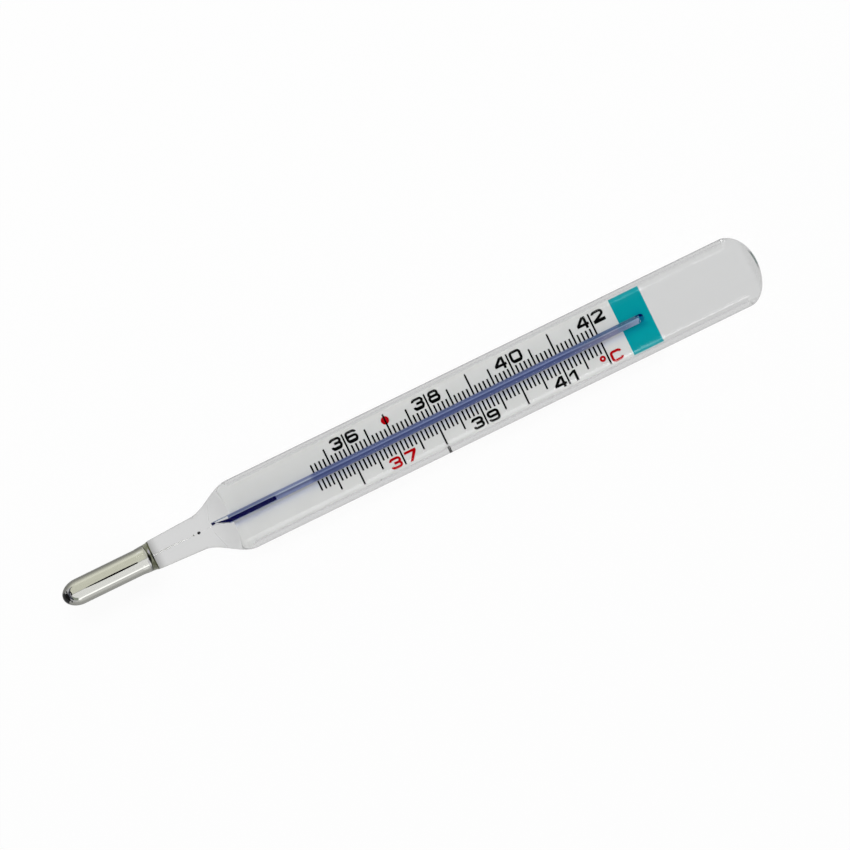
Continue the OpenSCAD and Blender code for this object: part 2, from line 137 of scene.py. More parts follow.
class Wire:
    """An output socket of a node tree. Sums on it add Math nodes, and add() puts in any other node."""

    def __init__(self, tree, socket=None):
        self.tree = tree
        self.socket = socket

    def add(self, kind, settings={}, values={}, output=0):
        node = self.tree.nodes.new(kind)
        for name, value in settings.items():
            if name == "stops":
                while len(node.color_ramp.elements) < len(value):
                    node.color_ramp.elements.new(1)
                for element, (place, colour) in zip(node.color_ramp.elements, value):
                    element.position = place
                    element.color = (*colour, 1)
            else:
                setattr(node, name, value)
        for name, value in values.items():
            if isinstance(value, Wire):
                self.tree.links.new(value.socket, node.inputs[name])
            else:
                node.inputs[name].default_value = value
        return Wire(self.tree, node.outputs[output] if node.outputs else None)

    def out(self, name):
        return Wire(self.tree, self.socket.node.outputs[name])

    def math(self, operation, *values):
        return self.add("ShaderNodeMath", {"operation": operation}, dict(enumerate(values)))

    def rise(self, low, high):
        """0 below low and 1 above high, with a soft step between; the other way round if low is higher."""
        return self.add("ShaderNodeMapRange", {"interpolation_type": "SMOOTHSTEP"},
                        {"Value": self, "From Min": low, "From Max": high})

    def mix(self, first, second):
        """Blends two colours, from the first where this is 0 to the second where it is 1."""
        return self.add("ShaderNodeMix", {"data_type": "RGBA"},
                        {0: self, 6: as_colour(first), 7: as_colour(second)}, 2)

    def __add__(self, other):
        return self.math("ADD", self, other)

    def __sub__(self, other):
        return self.math("SUBTRACT", self, other)

    def __rsub__(self, other):
        return self.math("SUBTRACT", other, self)

    def __mul__(self, other):
        return self.math("MULTIPLY", self, other)

    def __abs__(self):
        return self.math("ABSOLUTE", self)

    __radd__ = __add__
    __rmul__ = __mul__


def as_colour(value):
    """A grey level or an RGB colour as the four numbers of a colour socket; a link as it is."""
    if isinstance(value, Wire):
        return value
    if isinstance(value, (int, float)):
        return (value, value, value, 1)
    return (*value, 1)


def new_material(name):
    """An empty material, and a wire to build its nodes from."""
    material = bpy.data.materials.new(name)
    material.use_nodes = True
    material.node_tree.nodes.clear()
    return material, Wire(material.node_tree)


def place_on(nodes):
    """The three Object coordinates, in metres."""
    coordinates = nodes.add("ShaderNodeTexCoord", output="Object")
    split = nodes.add("ShaderNodeSeparateXYZ", {}, {"Vector": coordinates})
    return split.out("X"), split.out("Y"), split.out("Z")


def speckle(nodes, scale, stretch=(1, 1, 1), detail=3):
    """Noise from 0 to 1, with scale grains in a metre, stretched along an axis where stretch is small."""
    coordinates = nodes.add("ShaderNodeTexCoord", output="Object")
    mapped = nodes.add("ShaderNodeMapping", {}, {"Vector": coordinates, "Scale": stretch})
    return nodes.add("ShaderNodeTexNoise", {}, {"Vector": mapped, "Scale": scale, "Detail": detail})


def finish_glass(nodes, colour, lets_through, specular=0.2, bending=1.5):
    """Clear glass of that colour. Light from lamps passes it, taking on the colour that it lets through."""
    body = nodes.add("ShaderNodeBsdfPrincipled", {}, {
        "Base Color": as_colour(colour), "Roughness": 0.0, "IOR": bending, "Transmission Weight": 1.0,
        "Specular Tint": as_colour(specular)})
    clear = nodes.add("ShaderNodeBsdfTransparent", {}, {"Color": as_colour(lets_through)})
    shadow = nodes.add("ShaderNodeLightPath", output="Is Shadow Ray")
    both = nodes.add("ShaderNodeMixShader", {}, {0: shadow, 1: body, 2: clear})
    nodes.add("ShaderNodeOutputMaterial", {}, {"Surface": both})


def opening(x, thickness):
    """Section of the envelope at x, where the cone of the neck opens to the flat tube, less a thickness."""
    part = swell(x)
    r = neck_foot_r + (neck_top_r - neck_foot_r) * (x - stem_low.x) / (shoulder_start - stem_low.x)
    wide = r + (half_width - r) * part - thickness
    deep = r + (half_depth - r) * part - thickness
    return (x, neck_y * (1 - part), wide, deep)


outer = [opening(stem_low.x, 0)] + [opening(x, 0) for x in spread(shoulder_start, shoulder_end, 36)]
inner = [(floor_x, neck_y * (1 - swell(floor_x)), floor_r, floor_r)]
inner += [opening(x, wall) for x in spread(floor_x + floor_rise, shoulder_end, 20)]


def sealed_end(end, length, face_length, wide, deep):
    """Sections of the melted end, which closes at end over a length, the flat faces over a shorter one."""
    sections = []
    almost_closed = math.radians(88)
    for angle in spread(0, almost_closed, 28):
        x = end - length * (1 - math.sin(angle))
        run = min(max((x - end + face_length) / face_length, 0), 1)
        sections.append((x, neck_y * math.sin(angle) ** 4,
                         wide * math.cos(angle), deep * math.sqrt(1 - run * run)))
    return sections


outer += sealed_end(sheath_high.x, end_round, face_round, half_width, half_depth)
inner += sealed_end(sheath_high.x - end_wall, end_round - end_wall, face_round - end_wall / 2,
                    half_width - wall, half_depth - wall)
inner = [(x, y + hollow_lean * wide, (1 + hollow_lean) * wide, deep) for x, y, wide, deep in inner]

bm = bmesh.new()
skin(bm, outer, 48)
bmesh.ops.recalc_face_normals(bm, faces=bm.faces)
outside = set(bm.faces)
skin(bm, inner, 40)
inside = [f for f in bm.faces if f not in outside]
bmesh.ops.recalc_face_normals(bm, faces=inside)
bmesh.ops.reverse_faces(bm, faces=inside)

# Towards both ends of the hollow its wall bends the light less and less, so that no outline shows there.
inner_bending = [1.5, 1.36, 1.22, 1.1, 1.01]
fade_step = 0.35 * mm
foot_fade = shoulder_end - 0.2 * mm
end_fade = sheath_high.x - end_round - 0.3 * mm
for face in inside:
    place = face.calc_center_median().x
    past = max(foot_fade - place, place - end_fade, 0)
    step = min(math.ceil(past / fade_step), len(inner_bending) - 1)
    face.material_index = 1 + step + (len(inner_bending) if place < foot_fade else 0)

# Glass that light passes the long way is painted greyer: the solid neck, the walls' edges and the closed end, and
# the rim greyer still. This grey is partly the glass's own tint and partly painted shade.
flat_tint = (0.80, 0.805, 0.805)
thick_and_shade_tint = (0.67, 0.672, 0.672)
rim_shade_tint = (0.60, 0.602, 0.602)
shoulder_shade_tint = (0.58, 0.582, 0.582)
light_line_tint = (0.95, 0.955, 0.955)
end_line_tint = (0.05, 0.085, 0.075)
hollow_y = 0.15 * mm
envelope_glass, nodes = new_material("envelope_glass")
x, y, z = place_on(nodes)
solid = x.rise(shoulder_end, shoulder_end - 1.4 * mm)
edge = abs(y - hollow_y).rise(half_width - 0.9 * mm, half_width - 0.7 * mm)
rim = abs(y).rise(half_width - 0.4 * mm, half_width - 0.15 * mm)
closed = x.rise(sheath_high.x - 2.0 * mm, sheath_high.x - 1.0 * mm)
thick = solid.math("MAXIMUM", solid.math("MAXIMUM", solid, edge), closed)
drawn = speckle(nodes, 900, (0.04, 1, 1))
tint = rim.mix(thick.mix(flat_tint, thick_and_shade_tint), rim_shade_tint)
plate_low, plate_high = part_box("scale_plate")
# Painted shade: over the shoulder the glass is painted darker towards the plate's start, and not past it.
shoulder = x.rise(floor_x - 1 * mm, plate_low.x) * x.rise(plate_low.x + 0.1 * mm, plate_low.x - 0.1 * mm)
tint = (0.8 * shoulder).mix(tint, shoulder_shade_tint)

# A painted highlight: a soft light line is painted into the glass's tint along the round edge beside the plate,
# below it and by the band on both sides.
line_middle, line_off = 0.08 * mm, 4.37 * mm
band_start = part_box("colour_band")[0].x
by_plate = x.rise(shoulder_end - 2 * mm, shoulder_end) * x.rise(plate_high.x + 1 * mm, plate_high.x)
below = y.rise(1 * mm, -1 * mm)
by_band = x.rise(band_start - 1 * mm, band_start + 1 * mm)
painted_light_line = abs(abs(y - line_middle) - line_off).rise(0.36 * mm, 0.14 * mm)
painted_light_line = painted_light_line * by_plate * below.math("MAXIMUM", below, by_band)
tint = painted_light_line.mix(tint, light_line_tint)
tint = (0.02 * drawn).mix(tint, 0.6)

# A dark greenish line is painted along the outline near the sealed end, and a tiny seed is in the lower wall.
round_end = (x - sheath_high.x + end_round) * (1 / end_round)
outward = round_end * round_end + y * y * (1 / half_width ** 2)
end_line = outward.rise(0.78, 0.86) * x.rise(sheath_high.x - 2 * mm, sheath_high.x - 1.5 * mm)
end_line = end_line * y.rise(-1.4 * mm, 0.0) * y.rise(2.8 * mm, 1.6 * mm)
seed_x, seed_y = -7.7 * mm, -4.97 * mm
seed = (abs(x - seed_x) + 0.6 * abs(y - seed_y)).rise(0.15 * mm, 0.06 * mm)
tint = seed.mix(end_line.mix(tint, end_line_tint), 0.1)
finish_glass(nodes, tint, 1.0, specular=0.4)
envelope = piece(bm, "glass_envelope", envelope_glass)
inner_tint = 0.81
for name, clearing in (("inner_glass", 0.0), ("foot_glass", 0.0475)):
    for step, bending in enumerate(inner_bending):
        inner_glass, nodes = new_material("%s_%d" % (name, step))
        drawn = speckle(nodes, 900, (0.04, 1, 1))
        light = inner_tint + clearing * step
        finish_glass(nodes, drawn.mix(light, light - 0.01), 1.0, specular=0.0, bending=bending)
        envelope.data.materials.append(inner_glass)
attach(envelope, "body")
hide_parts("sheath", "stem")


# Bulb
# A thin-walled bulb of glass, drawn out and sealed with a thick tip, and full of liquid metal. The metal
# wets no wall, but lies tight against it, so the glass in front of it looks like a mirror.

bulb_low, bulb_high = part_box("bulb_shell")
metal_low, metal_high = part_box("bulb_metal")
bulb_r = 2.16 * mm
bulb_wall = 0.4 * mm
tip_length = 3.0 * mm
metal_round = 2.4 * mm
flare_x = bulb_high.x - 1.7 * mm
flare_r = 2.28 * mm


def nose(x, length, r, steps=14):
    """Outline of a rounded tip, from the axis at x to its full radius."""
    return [(x + length * (1 - math.cos(a)), r * math.sin(a)) for a in spread(0, math.pi / 2, steps)]


def flare(first, last, steps=8):
    """Outline that eases from one (x, radius) point to another."""
    return [(first[0] + (last[0] - first[0]) * part,
             first[1] + (last[1] - first[1]) * (1 - math.cos(math.pi * part)) / 2)
            for part in spread(0, 1, steps)]


def turned(outline, y, steps=64):
    """A solid turned about an axis along X at that y, from (x, radius) points of its outline."""
    bm = bmesh.new()
    points = [bm.verts.new((px, y, axis_z + r)) for px, r in outline]
    edges = [bm.edges.new(pair) for pair in zip(points, points[1:])]
    bmesh.ops.spin(bm, geom=points + edges, cent=(0, y, axis_z), axis=(1, 0, 0), angle=math.tau,
                   steps=steps, use_merge=True)
    bmesh.ops.remove_doubles(bm, verts=bm.verts, dist=1e-7)
    bmesh.ops.dissolve_degenerate(bm, edges=bm.edges, dist=1e-8)
    bmesh.ops.recalc_face_normals(bm, faces=bm.faces)
    return bm


shell_outline = nose(bulb_low.x, tip_length, bulb_r) + flare((flare_x, bulb_r), (bulb_high.x, flare_r))
shell_outline += [(bulb_high.x, bulb_r - bulb_wall)]
shell_outline += nose(metal_low.x, metal_round, bulb_r - bulb_wall)[::-1]
bulb_glass, nodes = new_material("bulb_glass")
x, y, z = place_on(nodes)
run, off = x - bulb_low.x, y - neck_y
drawn = speckle(nodes, 1500, (0.1, 1, 1))
clear = drawn.mix((0.97, 0.97, 0.965), (0.93, 0.935, 0.92))

# The tip was pulled off in the flame. Its glass is painted dark, and behind it a fine dark line ends in two dark
# spots: these are painted reflections of dark surroundings.
painted_line_run, painted_line_slant = 1.13 * mm, 0.07
painted_spots_middle, painted_spots_off = -0.09 * mm, 0.87 * mm
painted_line = abs(run + painted_line_slant * off - painted_line_run)
painted_spots = abs(abs(off - painted_spots_middle) - painted_spots_off).rise(0.22 * mm, 0.12 * mm) * painted_line.rise(0.16 * mm, 0.08 * mm)
clear = (painted_line.rise(0.07 * mm, 0.02 * mm) * abs(off).rise(0.95 * mm, 0.85 * mm)).mix(clear, 0.45)
clear = painted_spots.mix(clear, 0.0)
painted_dark_tip = run.rise(0.76 * mm, 0.68 * mm) * abs(off + 0.1 * mm).rise(1.0 * mm, 0.85 * mm)
finish_glass(nodes, painted_dark_tip.mix(clear, 0.0), 1.0, specular=0.6)
bulb = piece(turned(shell_outline, neck_y), "bulb_glass_shell", bulb_glass, 50)
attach(bulb, "body")
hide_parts("bulb_shell")


def finish_opaque(nodes, sockets):
    """A surface that no light passes, with those sockets of its shader."""
    body = nodes.add("ShaderNodeBsdfPrincipled", {}, sockets)
    nodes.add("ShaderNodeOutputMaterial", {}, {"Surface": body})


into_glass = 0.004 * mm  # the metal reaches into the glass by this much, so that no air lies between
metal_r = bulb_r - bulb_wall + into_glass
metal_tip_x, metal_tip_r = metal_high.x - 0.02 * mm, 0.1 * mm
metal_outline = nose(metal_low.x - into_glass, metal_round, metal_r)
metal_outline += [(bulb_high.x, metal_r), (metal_tip_x, metal_tip_r), (metal_tip_x, 0)]
liquid_metal, nodes = new_material("liquid_metal")
dull = speckle(nodes, 2500, (0.2, 1, 1))
finish_opaque(nodes, {"Base Color": dull.mix((0.80, 0.80, 0.77), (0.74, 0.74, 0.70)), "Metallic": 1.0,
                      "Roughness": 0.005 + 0.015 * dull})
fill = piece(turned(metal_outline, neck_y), "bulb_fill", liquid_metal)
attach(fill, "body")
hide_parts("bulb_metal")


# Weld ring
# The collar where bulb and stem were melted together in the flame. The metal ends in it as a cone. The collar is
# drawn opaque with the look of its glass painted on: beyond the cone it is olive and dark with streaks and a
# painted highlight, towards the bulb it carries painted reflections in bands, and a black line lies at each
# border.

weld_low, weld_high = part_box("weld_ring")
ring_foot_r = 2.28 * mm
ring_top_r = 2.48 * mm
groove = 0.06 * mm
gap = 0.01 * mm
foot_x, top_x = weld_low.x + gap, weld_high.x - gap
ring_foot = (weld_low.x + 2 * groove, ring_foot_r)
ring_waist = ((weld_low.x + weld_high.x) / 2, ring_foot_r + 0.04 * mm)
ring_top = (weld_high.x - 2 * groove, ring_top_r - 0.02 * mm)
ring_outline = [(foot_x, 0), (foot_x, ring_foot_r - 2 * groove), (foot_x, ring_foot_r - groove)]
ring_outline += flare(ring_foot, ring_waist, 4) + flare(ring_waist, ring_top, 4)[1:]
ring_outline += [(top_x, ring_top_r - groove), (top_x, 0)]
weld_glass, nodes = new_material("weld_glass")
x, y, z = place_on(nodes)
off = (y - neck_y) * (1 / ring_top_r)
run = (x - weld_low.x) * (1 / (weld_high.x - weld_low.x))
dome_top = 0.43
dome = dome_top - dome_top * off * off
middle = abs(off + 0.05).rise(0.45, 0.05)
streak = speckle(nodes, 2600, (1, 0.5, 0.5)).rise(0.3, 0.7)
# A painted highlight on the olive.
painted_glint = abs(off - 0.33).rise(0.25, 0.05) * abs(run - 0.68).rise(0.2, 0.05)
olive = painted_glint.mix(streak.mix((0.13, 0.135, 0.08), (0.28, 0.29, 0.21)), (0.42, 0.40, 0.46))
ended = (run - dome).rise(0.02, -0.02)
border = abs(run - dome).rise(0.11 + 0.16 * middle, 0.03 + 0.08 * middle)
upper = abs(run - 0.93).rise(0.2, 0.08)
# Painted reflections: towards the bulb the collar is painted with the bands that the bulb's metal mirrors, olive
# above, a white band, dark below and dark at its upper rim.
bright = off.rise(-0.02, 0.08).mix(0.72, (0.50, 0.50, 0.43))
bright = abs(off + 0.44).rise(0.10, 0.05).mix(bright, 0.95)
bright = off.rise(-0.55, -0.65).mix(bright, 0.36)
shades = ended.mix(olive, off.rise(0.72, 0.9).mix(bright, 0.22))
shades = border.mix(shades, middle.mix((0.05, 0.055, 0.03), 0.003))
shades = upper.mix(shades, middle.mix((0.06, 0.065, 0.02), (0.01, 0.014, 0.012)))
finish_opaque(nodes, {"Base Color": shades, "Roughness": 0.2 + 0.1 * streak, "Coat Weight": 0.4})
ring = piece(turned(ring_outline, neck_y), "weld_collar", weld_glass)
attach(ring, "body")
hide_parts("weld_ring")


# Metal in the neck
# A hair of liquid metal runs up the bore of the stem to the pinch, where the bore is almost closed. The
# drop in the pinch tears off when the bulb cools, so that the thread stays at its highest reading.

neck_low, neck_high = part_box("neck_metal")
drop_low, drop_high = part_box("constriction_drop")
lead_low, lead_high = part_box("lead_metal")
hair_r = 0.10 * mm
pinched_r = 0.03 * mm
bead_x = drop_low.x - 0.6 * mm
bead_r = 0.11 * mm
bead_half = 0.12 * mm
hair_outline = [(neck_low.x, 0), (neck_low.x, hair_r), (bead_x - 2.2 * mm, hair_r),
                (bead_x - 1.6 * mm, pinched_r), (bead_x - bead_half, pinched_r), (bead_x, bead_r),
                (bead_x + bead_half, pinched_r), (neck_high.x, pinched_r), (neck_high.x, 0)]
pale_metal, nodes = new_material("pale_metal")
x, y, z = place_on(nodes)
dull = speckle(nodes, 4000, (0.1, 1, 1))
# Painted shade: the hair is painted darker on its upper side than on its lower side.
pale = (y - neck_y).rise(0.0, 0.05 * mm).mix(dull.mix(0.99, 0.96), 0.66)
pale = abs(x - bead_x).rise(0.16 * mm, 0.10 * mm).mix(pale, (0.26, 0.27, 0.24))
finish_opaque(nodes, {"Base Color": pale, "Roughness": 0.4 + 0.1 * dull, "Metallic": 0.2})
hair = piece(turned(hair_outline, neck_y, 24), "neck_hairline", pale_metal)
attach(hair, "body")
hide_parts("neck_metal")

dark_metal, nodes = new_material("dark_metal")
dull = speckle(nodes, 6000)
finish_opaque(nodes, {"Base Color": dull.mix((0.02, 0.02, 0.025), (0.05, 0.05, 0.06)), "Metallic": 1.0,
                      "Roughness": 0.2 + 0.1 * dull})
drop_middle = (drop_low.x + drop_high.x) / 2
drop_r = 0.17 * mm
drop_half = 0.29 * mm
drop_outline = nose(drop_middle - drop_half, drop_half, drop_r, 8)
drop_outline += [(2 * drop_middle - px, r) for px, r in drop_outline[-2::-1]]
drop = piece(turned(drop_outline, neck_y, 24), "pinch_drop", dark_metal)
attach(drop, "body")
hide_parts("constriction_drop")

lead_outline = [(lead_low.x, 0), (lead_low.x, pinched_r), (lead_high.x, pinched_r), (lead_high.x, 0)]
lead = piece(turned(lead_outline, neck_y, 16), "lead_hairline", pale_metal)
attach(lead, "body")
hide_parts("lead_metal")


# Scale plate and its printing
# A thin plate of white opal, cut to fit the flat sheath and printed with black and red lines and
# numerals and a teal band. Pads of clear cement hold it to the back wall of the sheath.

def paint(node, material):
    """Gives a CAD node that is kept as it is a finished material."""
    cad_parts[node].material_slots[0].material = material


def ink(name, light, dark):
    """Printing ink: a thin film, a little uneven in colour and gloss."""
    material, nodes = new_material(name)
    uneven = speckle(nodes, 5000)
    finish_opaque(nodes, {"Base Color": uneven.mix(light, dark), "Roughness": 0.5 + 0.2 * uneven,
                          "Specular IOR Level": 0.02})
    return material


opal, nodes = new_material("white_opal")
cloud = speckle(nodes, 400)
grain = speckle(nodes, 9000)
bump = nodes.add("ShaderNodeBump", {}, {"Height": grain, "Strength": 0.05, "Distance": 0.02 * mm})
finish_opaque(nodes, {"Base Color": cloud.mix((0.84, 0.845, 0.845), (0.81, 0.815, 0.82)),
                      "Roughness": 0.4 + 0.1 * grain, "Normal": bump})
paint("scale_plate", opal)
paint("colour_band", ink("teal_ink", (0.001, 0.395, 0.452), (0.001, 0.36, 0.415)))
black_ink = ink("black_ink", (0.001, 0.001, 0.001), (0.003, 0.003, 0.003))
paint("upper_ticks", black_ink)
paint("lower_ticks", black_ink)
paint("black_numerals", black_ink)
red_ink = ink("red_ink", (0.54, 0.001, 0.007), (0.48, 0.001, 0.006))
paint("red_numerals", red_ink)
paint("fever_dot", red_ink)

cement, nodes = new_material("clear_cement")
cloud = speckle(nodes, 1500)
finish_opaque(nodes, {"Base Color": cloud.mix((0.86, 0.86, 0.83), (0.76, 0.76, 0.71)),
                      "Roughness": 0.3 + 0.2 * cloud})
paint("plate_cement", cement)
paint("tube_cement", cement)


# Capillary
# A round tube of clear glass with a flat bore, tapered at its foot and closed at its upper end. A stripe
# of blue enamel is fused into its back, and the round glass in front magnifies it to the full width.

tube_low, tube_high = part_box("capillary")
tube_r = (tube_high.y - tube_low.y) / 2
tube_y = (tube_high.y + tube_low.y) / 2
thread_low, thread_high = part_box("thread_stem")
bore_end = tube_high.x - 1.2 * mm
bore_y = (thread_low.y + thread_high.y) / 2
thread_broader = 1.12  # than the CAD's, because the glass of the real tube magnifies it more
thread_wide = thread_broader * (thread_high.y - thread_low.y) / 2
bore_wide = thread_wide + 0.02 * mm
bore_deep = 0.11 * mm
foot_end = tube_low.x + 2.9 * mm


def in_tube(sections):
    """Sections given in mm: run from the foot, offset from the tube's axis, half width and half depth."""
    return [(tube_low.x + run * mm, tube_y + off * mm, wide * mm, deep * mm) for run, off, wide, deep in sections]


bm = bmesh.new()
tube = in_tube([(0.01, 0.42, 0.27, 0.27), (0.6, 0.40, 0.30, 0.30), (1.2, 0.33, 0.37, 0.37),
                (2.0, 0.18, 0.52, 0.52)])
tube += [(foot_end, tube_y, tube_r, tube_r)]
tube += [(2 * tube_high.x - px, tube_y, r, r) for px, r in nose(tube_high.x, tube_r, tube_r)[:0:-1]]
skin(bm, tube, 24)
bmesh.ops.recalc_face_normals(bm, faces=bm.faces)
outside = set(bm.faces)
bore = in_tube([(0.03, 0.42, 0.18, 0.09), (0.6, 0.40, 0.18, 0.09), (1.2, 0.29, 0.16, 0.10),
                (2.0, 0.08, 0.19, 0.11)])
bore += [(foot_end, bore_y, bore_wide, bore_deep), (bore_end - bore_deep, bore_y, bore_wide, bore_deep),
         (bore_end, bore_y, bore_wide * 0.5, bore_deep * 0.4)]
skin(bm, bore, 12)
inside = [f for f in bm.faces if f not in outside]
bmesh.ops.recalc_face_normals(bm, faces=inside)
bmesh.ops.reverse_faces(bm, faces=inside)
round_start = tube_high.x - tube_r
for face in inside:
    face.material_index = 1
for face in outside:
    if face.calc_center_median().x > round_start:
        face.material_index = 2
capillary_glass, nodes = new_material("capillary_glass")
x, y, z = place_on(nodes)
drawn = speckle(nodes, 2500, (0.03, 1, 1))
rim = (y - tube_y).rise(0.44 * mm, 0.60 * mm) * x.rise(foot_end + 0.5 * mm, foot_end - 0.2 * mm)
clear = drawn.mix((0.95, 0.96, 0.98), (0.90, 0.92, 0.95))
# Painted shade: just before the closed end the glass along the tube's upper edge is painted navy.
upper_edge = (y - tube_y).rise(tube_r - 0.35 * mm, tube_r - 0.2 * mm)
end_edge_shade = x.rise(round_start - 0.9 * mm, round_start - 0.4 * mm) * upper_edge
clear = end_edge_shade.mix(rim.mix(clear, (0.22, 0.30, 0.45)), (0.004, 0.03, 0.25))
finish_glass(nodes, clear, (0.52, 0.59, 0.84), specular=0.2)
bore_glass, nodes = new_material("bore_glass")
drawn = speckle(nodes, 2500, (0.03, 1, 1))
finish_glass(nodes, drawn.mix(0.99, 0.97), 1.0, specular=0.0, bending=1.01)
closed_glass, nodes = new_material("closed_glass")
x, y, z = place_on(nodes)
drawn = speckle(nodes, 2500)
# The closed end is painted pale blue, with painted navy shade over its upper side.
navy_shade = (y - tube_y).rise(0.05 * mm, 0.3 * mm) * drawn.rise(0.1, 0.3)
clear = navy_shade.mix((0.45, 0.75, 0.92), (0.004, 0.004, 0.30))
finish_glass(nodes, clear, (0.42, 0.47, 0.68), specular=0.1, bending=1.15)
capillary = piece(bm, "capillary_tube", capillary_glass)
capillary.data.materials.append(bore_glass)
capillary.data.materials.append(closed_glass)
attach(capillary, "body")
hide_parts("capillary")

stripe_end = bore_end + 0.35 * mm
stripe_half_angle = math.radians(65)
stripe_out = tube_r - 0.006 * mm
stripe_in = tube_r - 0.05 * mm
bm = bmesh.new()
corners = [bm.verts.new((px, tube_y, axis_z - r)) for px, r in
           ((foot_end, stripe_out), (stripe_end, stripe_out), (stripe_end, stripe_in), (foot_end, stripe_in))]
bmesh.ops.rotate(bm, verts=corners, cent=(0, tube_y, axis_z), matrix=Matrix.Rotation(stripe_half_angle, 3, "X"))
bmesh.ops.spin(bm, geom=[bm.faces.new(corners)], cent=(0, tube_y, axis_z), axis=(1, 0, 0),
               angle=-2 * stripe_half_angle, steps=24)
bmesh.ops.recalc_face_normals(bm, faces=bm.faces)
blue_enamel, nodes = new_material("blue_enamel")
x, y, z = place_on(nodes)
cloud = speckle(nodes, 700, (0.1, 1, 1))
across = y - tube_y
tick_low, tick_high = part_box("upper_ticks")
ticks = x.rise(tick_low.x - 1 * mm, tick_low.x) * x.rise(tick_high.x + 1 * mm, tick_high.x)
over_band = x.rise(band_start - 1 * mm, band_start)
near_band = x.rise(band_start - 11 * mm, band_start - 4 * mm)

# The enamel is blue with one thin light streak, a painted highlight, and it is painted darker where the ticks
# stand beside it, a painted reflection of the dark ticks.
blue = abs(across + 0.03 * mm).rise(0.02 * mm, 0.13 * mm).mix((0.237, 0.258, 0.402), (0.39, 0.435, 0.62))
thin = across.rise(0.0, 0.045 * mm) * across.rise(0.125 * mm, 0.085 * mm)
blue = (0.6 * ticks).mix(blue, (0.008, 0.045, 0.24))
blue = thin.mix(blue, ticks.mix((0.94, 1.0, 1.0), (0.39, 0.47, 0.72)))

# Near the band it is pale, with a dark upper border, a broader painted highlight and the same painted darkening
# by the ticks, and its last corners are painted teal so that its end looks round.
gloss = abs(across - 0.038 * mm).rise(0.04 * mm, 0.015 * mm)
last = x.rise(stripe_end - 3 * mm, stripe_end - 0.3 * mm)
flat = over_band.mix((0.43, 0.42, 0.53), last.mix((0.29, 0.39, 0.52), (0.56, 0.68, 0.78)))
pale = gloss.mix(flat, over_band.mix((0.85, 0.95, 1.0), (0.50, 0.88, 1.0)))
dark_border = over_band.mix((0.17, 0.27, 0.44), (0.05, 0.22, 0.33))
pale = across.rise(0.068 * mm, 0.09 * mm).mix(pale, dark_border)
pale = (0.25 * ticks).mix(pale, (0.001, 0.02, 0.19))
corner_wide = 0.13 * mm
to_end = x.rise(stripe_end - 0.35 * mm, stripe_end)
rounded = to_end * to_end + across * across * (1 / corner_wide ** 2)
teal_corner = rounded.rise(0.9, 1.1) * to_end.rise(0.0, 0.1)
pale = teal_corner.mix(pale, (0.001, 0.30, 0.37))
blue = (0.2 * cloud).mix(near_band.mix(blue, pale), (0.1, 0.13, 0.28))
finish_opaque(nodes, {"Base Color": blue, "Roughness": 0.25 + 0.1 * cloud})
stripe = piece(bm, "enamel_stripe", blue_enamel)
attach(stripe, "body")
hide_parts("capillary_stripe")


# Metal thread
# The liquid metal in the bore, dark against the blue enamel. Its foot is bent over to the bore of the
# neck. It lengthens as the bulb warms, so its top slides along the scale.

split_x, thread_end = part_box("thread_top")[0].x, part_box("thread_top")[1].x
thread_deep = bore_deep - 0.02 * mm
thread_run = in_tube([(0.05, 0.42, 0.12, 0.05), (0.15, 0.42, 0.15, 0.07), (0.6, 0.40, 0.12, 0.07),
                      (0.72, 0.38, 0.02, 0.015), (1.05, 0.30, 0.02, 0.015), (1.2, 0.27, 0.06, 0.05),
                      (2.0, 0.07, 0.14, 0.08)])
thread_run += [(x, bore_y, thread_wide, thread_deep) for x in spread(foot_end, thread_end, 48)]
bm = bmesh.new()
skin(bm, thread_run, 10)
bmesh.ops.recalc_face_normals(bm, faces=bm.faces)
thread_metal, nodes = new_material("thread_metal")
# Painted reflection: the metal mirrors the dark room through the blue glass, and that is painted into it as a
# dull navy.
dull = speckle(nodes, 4000, (0.05, 1, 1))
finish_opaque(nodes, {"Base Color": dull.mix((0.001, 0.001, 0.085), (0.001, 0.001, 0.070)),
                      "Roughness": 0.3 + 0.1 * dull, "Specular IOR Level": 0.05})
thread = piece(bm, "metal_thread", thread_metal)
thread.visible_shadow = False
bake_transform(thread)
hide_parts("thread_stem", "thread_top")


# Location mark
# A short dark line fired into the edge of the sheath, in line with 38 on the scale. It shows where the
# plate belongs, and whether it has slipped. It is broad on the edge and fades to a point on the face.

mark_low, mark_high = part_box("location_mark")
mark_x = (mark_low.x + mark_high.x) / 2
mark_half = (mark_high.x - mark_low.x) / 2
lobe_y = half_width - half_depth
mark_from = math.radians(-40)
mark_to = math.radians(55)
mark_in = half_depth - 0.02 * mm
mark_out = half_depth + 0.01 * mm
broad_share, narrow_share = 1.35, 0.25  # of the CAD line's width, on the edge and at its point
narrow_from, narrow_over = 0.45, 0.25  # in radians up the round edge
bm = bmesh.new()
corners = [bm.verts.new((px, -lobe_y - r, axis_z)) for px, r in (
    (mark_x - mark_half, mark_in), (mark_x + mark_half, mark_in),
    (mark_x + mark_half, mark_out), (mark_x - mark_half, mark_out))]
bmesh.ops.rotate(bm, verts=corners, cent=(0, -lobe_y, axis_z), matrix=Matrix.Rotation(-mark_from, 3, "X"))
bmesh.ops.spin(bm, geom=[bm.faces.new(corners)], cent=(0, -lobe_y, axis_z), axis=(1, 0, 0),
               angle=-(mark_to - mark_from), steps=32)
for v in bm.verts:
    angle = math.atan2(v.co.z - axis_z, -lobe_y - v.co.y)
    taper = min(max((angle - narrow_from) / narrow_over, 0), 1)
    v.co.x = mark_x + (v.co.x - mark_x) * (broad_share + (narrow_share - broad_share) * taper)
bmesh.ops.recalc_face_normals(bm, faces=bm.faces)
mark_ink, nodes = new_material("mark_ink")
x, y, z = place_on(nodes)
uneven = speckle(nodes, 6000)
